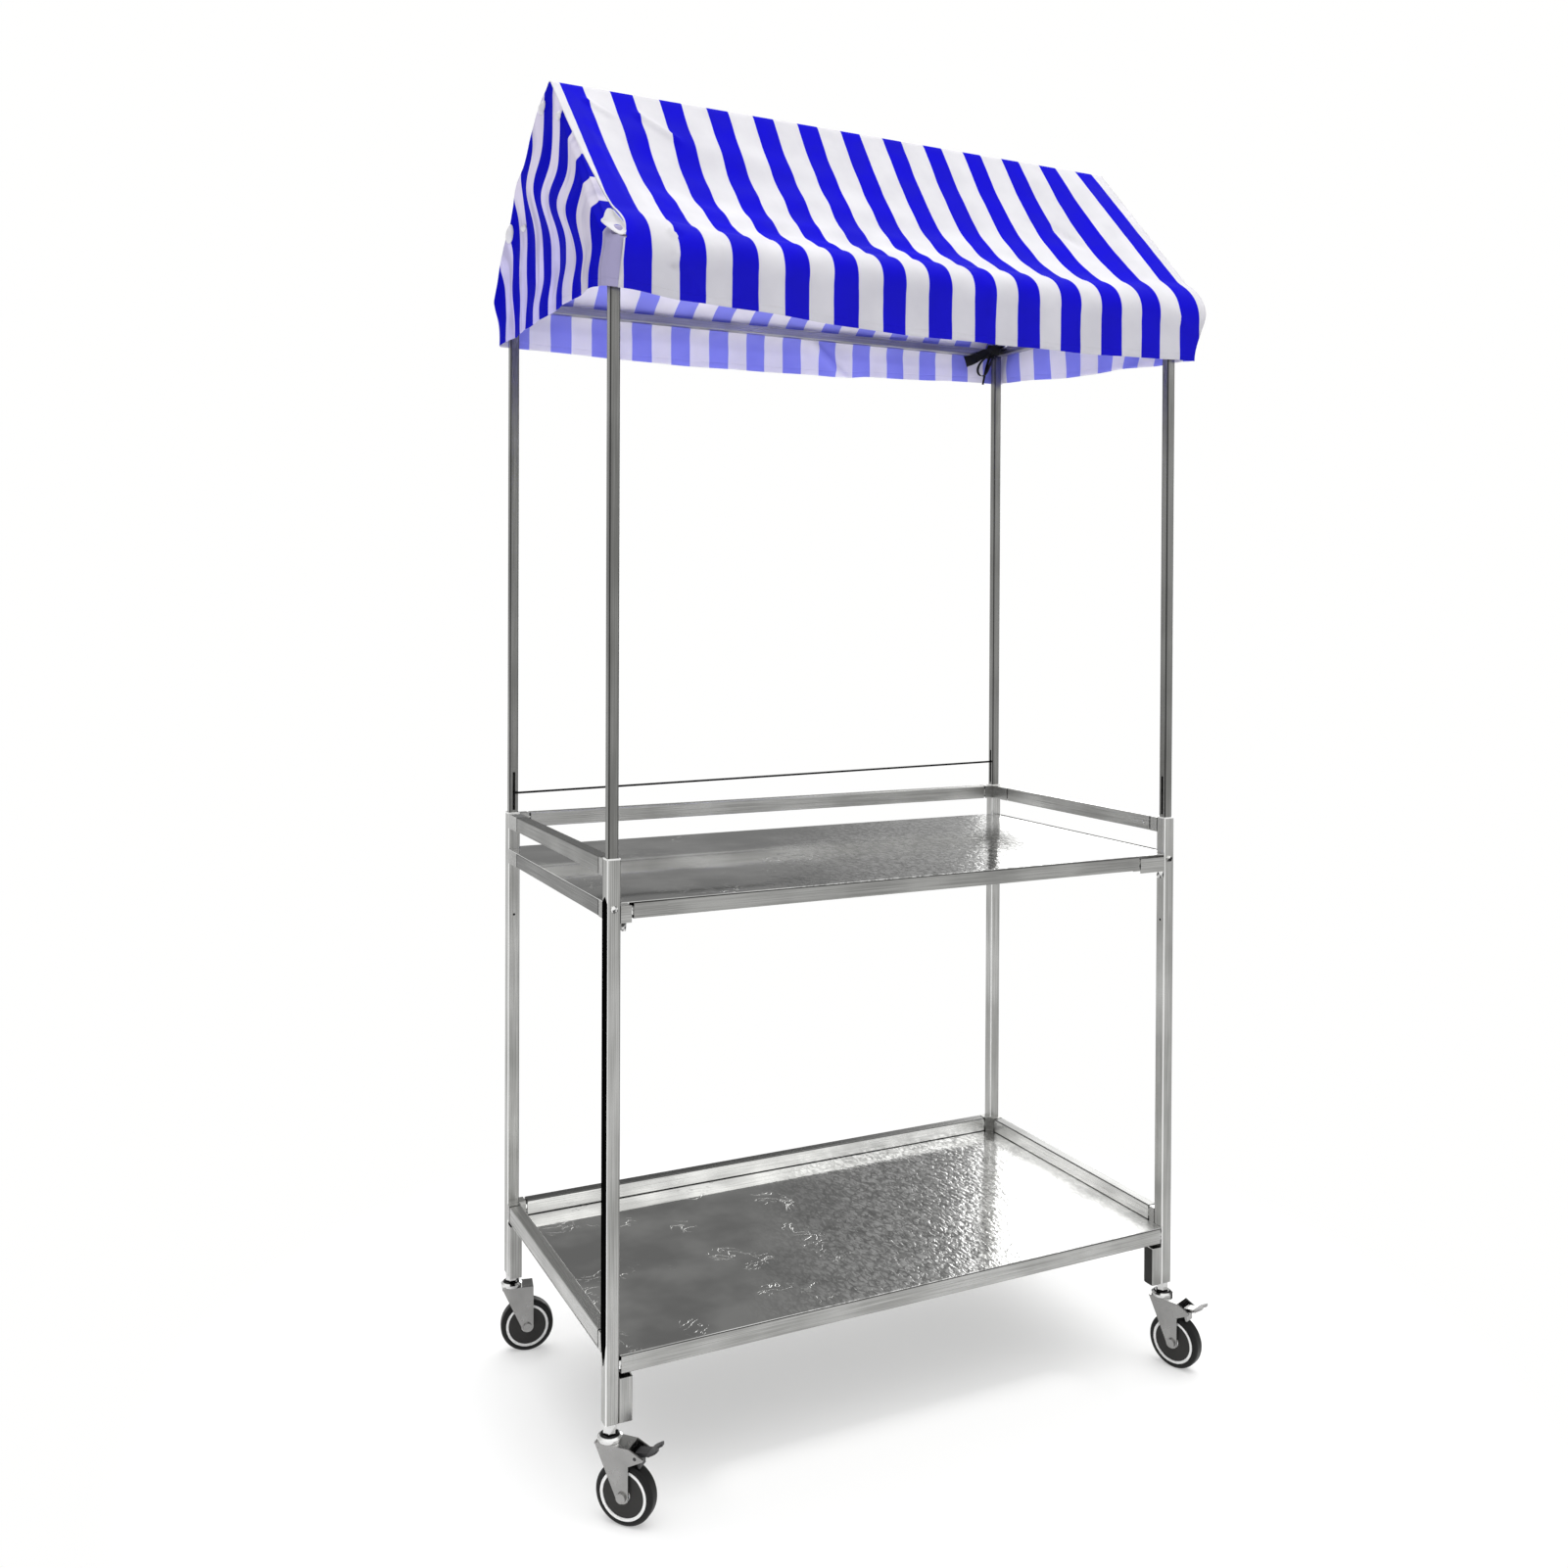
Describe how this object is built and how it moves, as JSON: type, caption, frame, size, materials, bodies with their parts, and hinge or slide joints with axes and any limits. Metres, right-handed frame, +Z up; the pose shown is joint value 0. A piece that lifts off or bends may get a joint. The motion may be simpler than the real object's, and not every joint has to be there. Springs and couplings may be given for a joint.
{
  "type": "vending cart",
  "caption": "Tall wheeled market cart with a shelf and lower tray of polished steel in a square-tube frame, braked swivel casters and a striped gabled cloth canopy on telescoping posts.",
  "frame": {"origin": "On the floor under the middle of the four legs.", "axes": "+X runs along the counter to the right seen from the customer's side, +Y to the back, +Z up."},
  "size_m": [1.0675, 0.6052, 2.0694],
  "materials": {
    "stainless_tube": "satin-polished stainless tube",
    "polished_sheet": "mirror-polished thin stainless sheet with faint ripples",
    "plated_steel": "bright zinc plating",
    "black_plastic": "moulded black plastic",
    "white_plastic": "moulded white plastic",
    "grey_plastic": "dark grey moulded plastic",
    "black_tyre": "smooth black rubber",
    "striped_cloth": "thin woven cloth in broad blue and white stripes",
    "black_ribbon": "black woven ribbon",
    "black_cord": "black braided cord"
  },
  "bodies": {
    "cart_frame": {"leg_front_left": "stainless_tube", "leg_front_right": "stainless_tube", "leg_back_left": "stainless_tube", "leg_back_right": "stainless_tube", "post_front_left": "stainless_tube", "post_front_right": "stainless_tube", "post_back_left": "stainless_tube", "post_back_right": "stainless_tube", "tray_rail_front": "stainless_tube", "tray_rail_back": "stainless_tube", "tray_rail_left": "stainless_tube", "tray_rail_right": "stainless_tube", "shelf_rail_front": "stainless_tube", "shelf_rail_back": "stainless_tube", "shelf_rail_left": "stainless_tube", "shelf_rail_right": "stainless_tube", "guard_rail_back": "stainless_tube", "guard_rail_left": "stainless_tube", "guard_rail_right": "stainless_tube", "tray_sheet": "polished_sheet", "shelf_sheet": "polished_sheet", "rail_brackets": "plated_steel", "rail_spigots": "plated_steel", "foot_stubs": "stainless_tube", "leg_foot_plugs": "black_plastic", "frame_bolts": "plated_steel", "eave_rail_front": "stainless_tube", "eave_rail_back": "stainless_tube", "gable_rails": "stainless_tube", "canopy_rafters": "stainless_tube", "ridge_tube": "stainless_tube", "canopy_joints": "black_plastic", "canopy_roof": "striped_cloth", "canopy_gable_left": "striped_cloth", "canopy_gable_right": "striped_cloth", "canopy_tie": "black_ribbon", "rear_cord": "black_cord", "caster_stems": "plated_steel"},
    "caster_front_left": {"caster_fork_front_left": "plated_steel", "caster_axle_front_left": "plated_steel"},
    "wheel_front_left": {"wheel_core_front_left": "white_plastic", "wheel_covers_front_left": "grey_plastic", "tyre_front_left": "black_tyre"},
    "pedal_front_left": {"brake_pedal_front_left": "black_plastic"},
    "caster_front_right": {"caster_fork_front_right": "plated_steel", "caster_axle_front_right": "plated_steel"},
    "wheel_front_right": {"wheel_core_front_right": "white_plastic", "wheel_covers_front_right": "grey_plastic", "tyre_front_right": "black_tyre"},
    "pedal_front_right": {"brake_pedal_front_right": "plated_steel"},
    "caster_back_left": {"caster_fork_back_left": "plated_steel", "caster_axle_back_left": "plated_steel"},
    "wheel_back_left": {"wheel_core_back_left": "white_plastic", "wheel_covers_back_left": "grey_plastic", "tyre_back_left": "black_tyre"},
    "caster_back_right": {"caster_fork_back_right": "plated_steel", "caster_axle_back_right": "plated_steel"},
    "wheel_back_right": {"wheel_core_back_right": "white_plastic", "wheel_covers_back_right": "grey_plastic", "tyre_back_right": "black_tyre"}
  },
  "joints": [
    {"name": "swivel_front_left", "type": "hinge", "parent": "cart_frame", "child": "caster_front_left", "pos_m": [-0.49, -0.253, 0.1105], "axis": [0, 0, 1], "continuous": true},
    {"name": "roll_front_left", "type": "hinge", "parent": "caster_front_left", "child": "wheel_front_left", "pos_m": [-0.47227, -0.27202, 0.044], "axis": [0.7314, 0.682, 0], "continuous": true},
    {"name": "brake_front_left", "type": "hinge", "parent": "caster_front_left", "child": "pedal_front_left", "pos_m": [-0.45863, -0.28664, 0.101], "axis": [0.7314, 0.682, 0], "range_deg": [0, 20]},
    {"name": "swivel_front_right", "type": "hinge", "parent": "cart_frame", "child": "caster_front_right", "pos_m": [0.49, -0.253, 0.1105], "axis": [0, 0, 1], "continuous": true},
    {"name": "roll_front_right", "type": "hinge", "parent": "caster_front_right", "child": "wheel_front_right", "pos_m": [0.49889, -0.27743, 0.044], "axis": [0.9397, 0.342, 0], "continuous": true},
    {"name": "brake_front_right", "type": "hinge", "parent": "caster_front_right", "child": "pedal_front_right", "pos_m": [0.50573, -0.29623, 0.101], "axis": [0.9397, 0.342, 0], "range_deg": [0, 20]},
    {"name": "swivel_back_left", "type": "hinge", "parent": "cart_frame", "child": "caster_back_left", "pos_m": [-0.49, 0.253, 0.1105], "axis": [0, 0, 1], "continuous": true},
    {"name": "roll_back_left", "type": "hinge", "parent": "caster_back_left", "child": "wheel_back_left", "pos_m": [-0.46457, 0.24759, 0.044], "axis": [0.2079, 0.9781, 0], "continuous": true},
    {"name": "swivel_back_right", "type": "hinge", "parent": "cart_frame", "child": "caster_back_right", "pos_m": [0.49, 0.253, 0.1105], "axis": [0, 0, 1], "continuous": true},
    {"name": "roll_back_right", "type": "hinge", "parent": "caster_back_right", "child": "wheel_back_right", "pos_m": [0.5113, 0.23809, 0.044], "axis": [0.5736, 0.8192, 0], "continuous": true}
  ]
}
